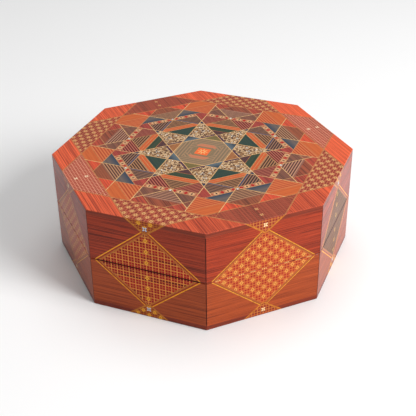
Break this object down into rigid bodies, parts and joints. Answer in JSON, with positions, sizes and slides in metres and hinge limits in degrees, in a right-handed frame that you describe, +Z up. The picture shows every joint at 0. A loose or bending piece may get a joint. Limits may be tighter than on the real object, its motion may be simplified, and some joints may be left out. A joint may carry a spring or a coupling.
{
  "type": "octagonal keepsake box",
  "caption": "Hollow octagonal wooden keepsake box with a flush lift-off lid, mitred sides and geometric inlay of straight-sided tiles, bands and small flowers.",
  "frame": {"origin": "middle of the underside of the bottom board, on the surface that the box stands on", "axes": "+Z up through the middle of the lid; the sides of the first boards are square to -Y"},
  "size_m": [0.2414, 0.2414, 0.0915],
  "materials": {
    "lid_inlay": "clear gloss lacquer over geometric veneer inlay on a red-orange striped ground",
    "side_inlay": "clear gloss lacquer over red-brown striped veneer with lozenge inlay",
    "base_board": "dark stained wood, satin"
  },
  "bodies": {
    "root": {"lid_panel": "lid_inlay", "lid_wall_1": "side_inlay", "lid_wall_2": "side_inlay", "lid_wall_3": "side_inlay", "lid_wall_4": "side_inlay", "lid_wall_5": "side_inlay", "lid_wall_6": "side_inlay", "lid_wall_7": "side_inlay", "lid_wall_8": "side_inlay", "base_panel": "base_board", "base_wall_1": "side_inlay", "base_wall_2": "side_inlay", "base_wall_3": "side_inlay", "base_wall_4": "side_inlay", "base_wall_5": "side_inlay", "base_wall_6": "side_inlay", "base_wall_7": "side_inlay", "base_wall_8": "side_inlay"}
  },
  "joints": []
}
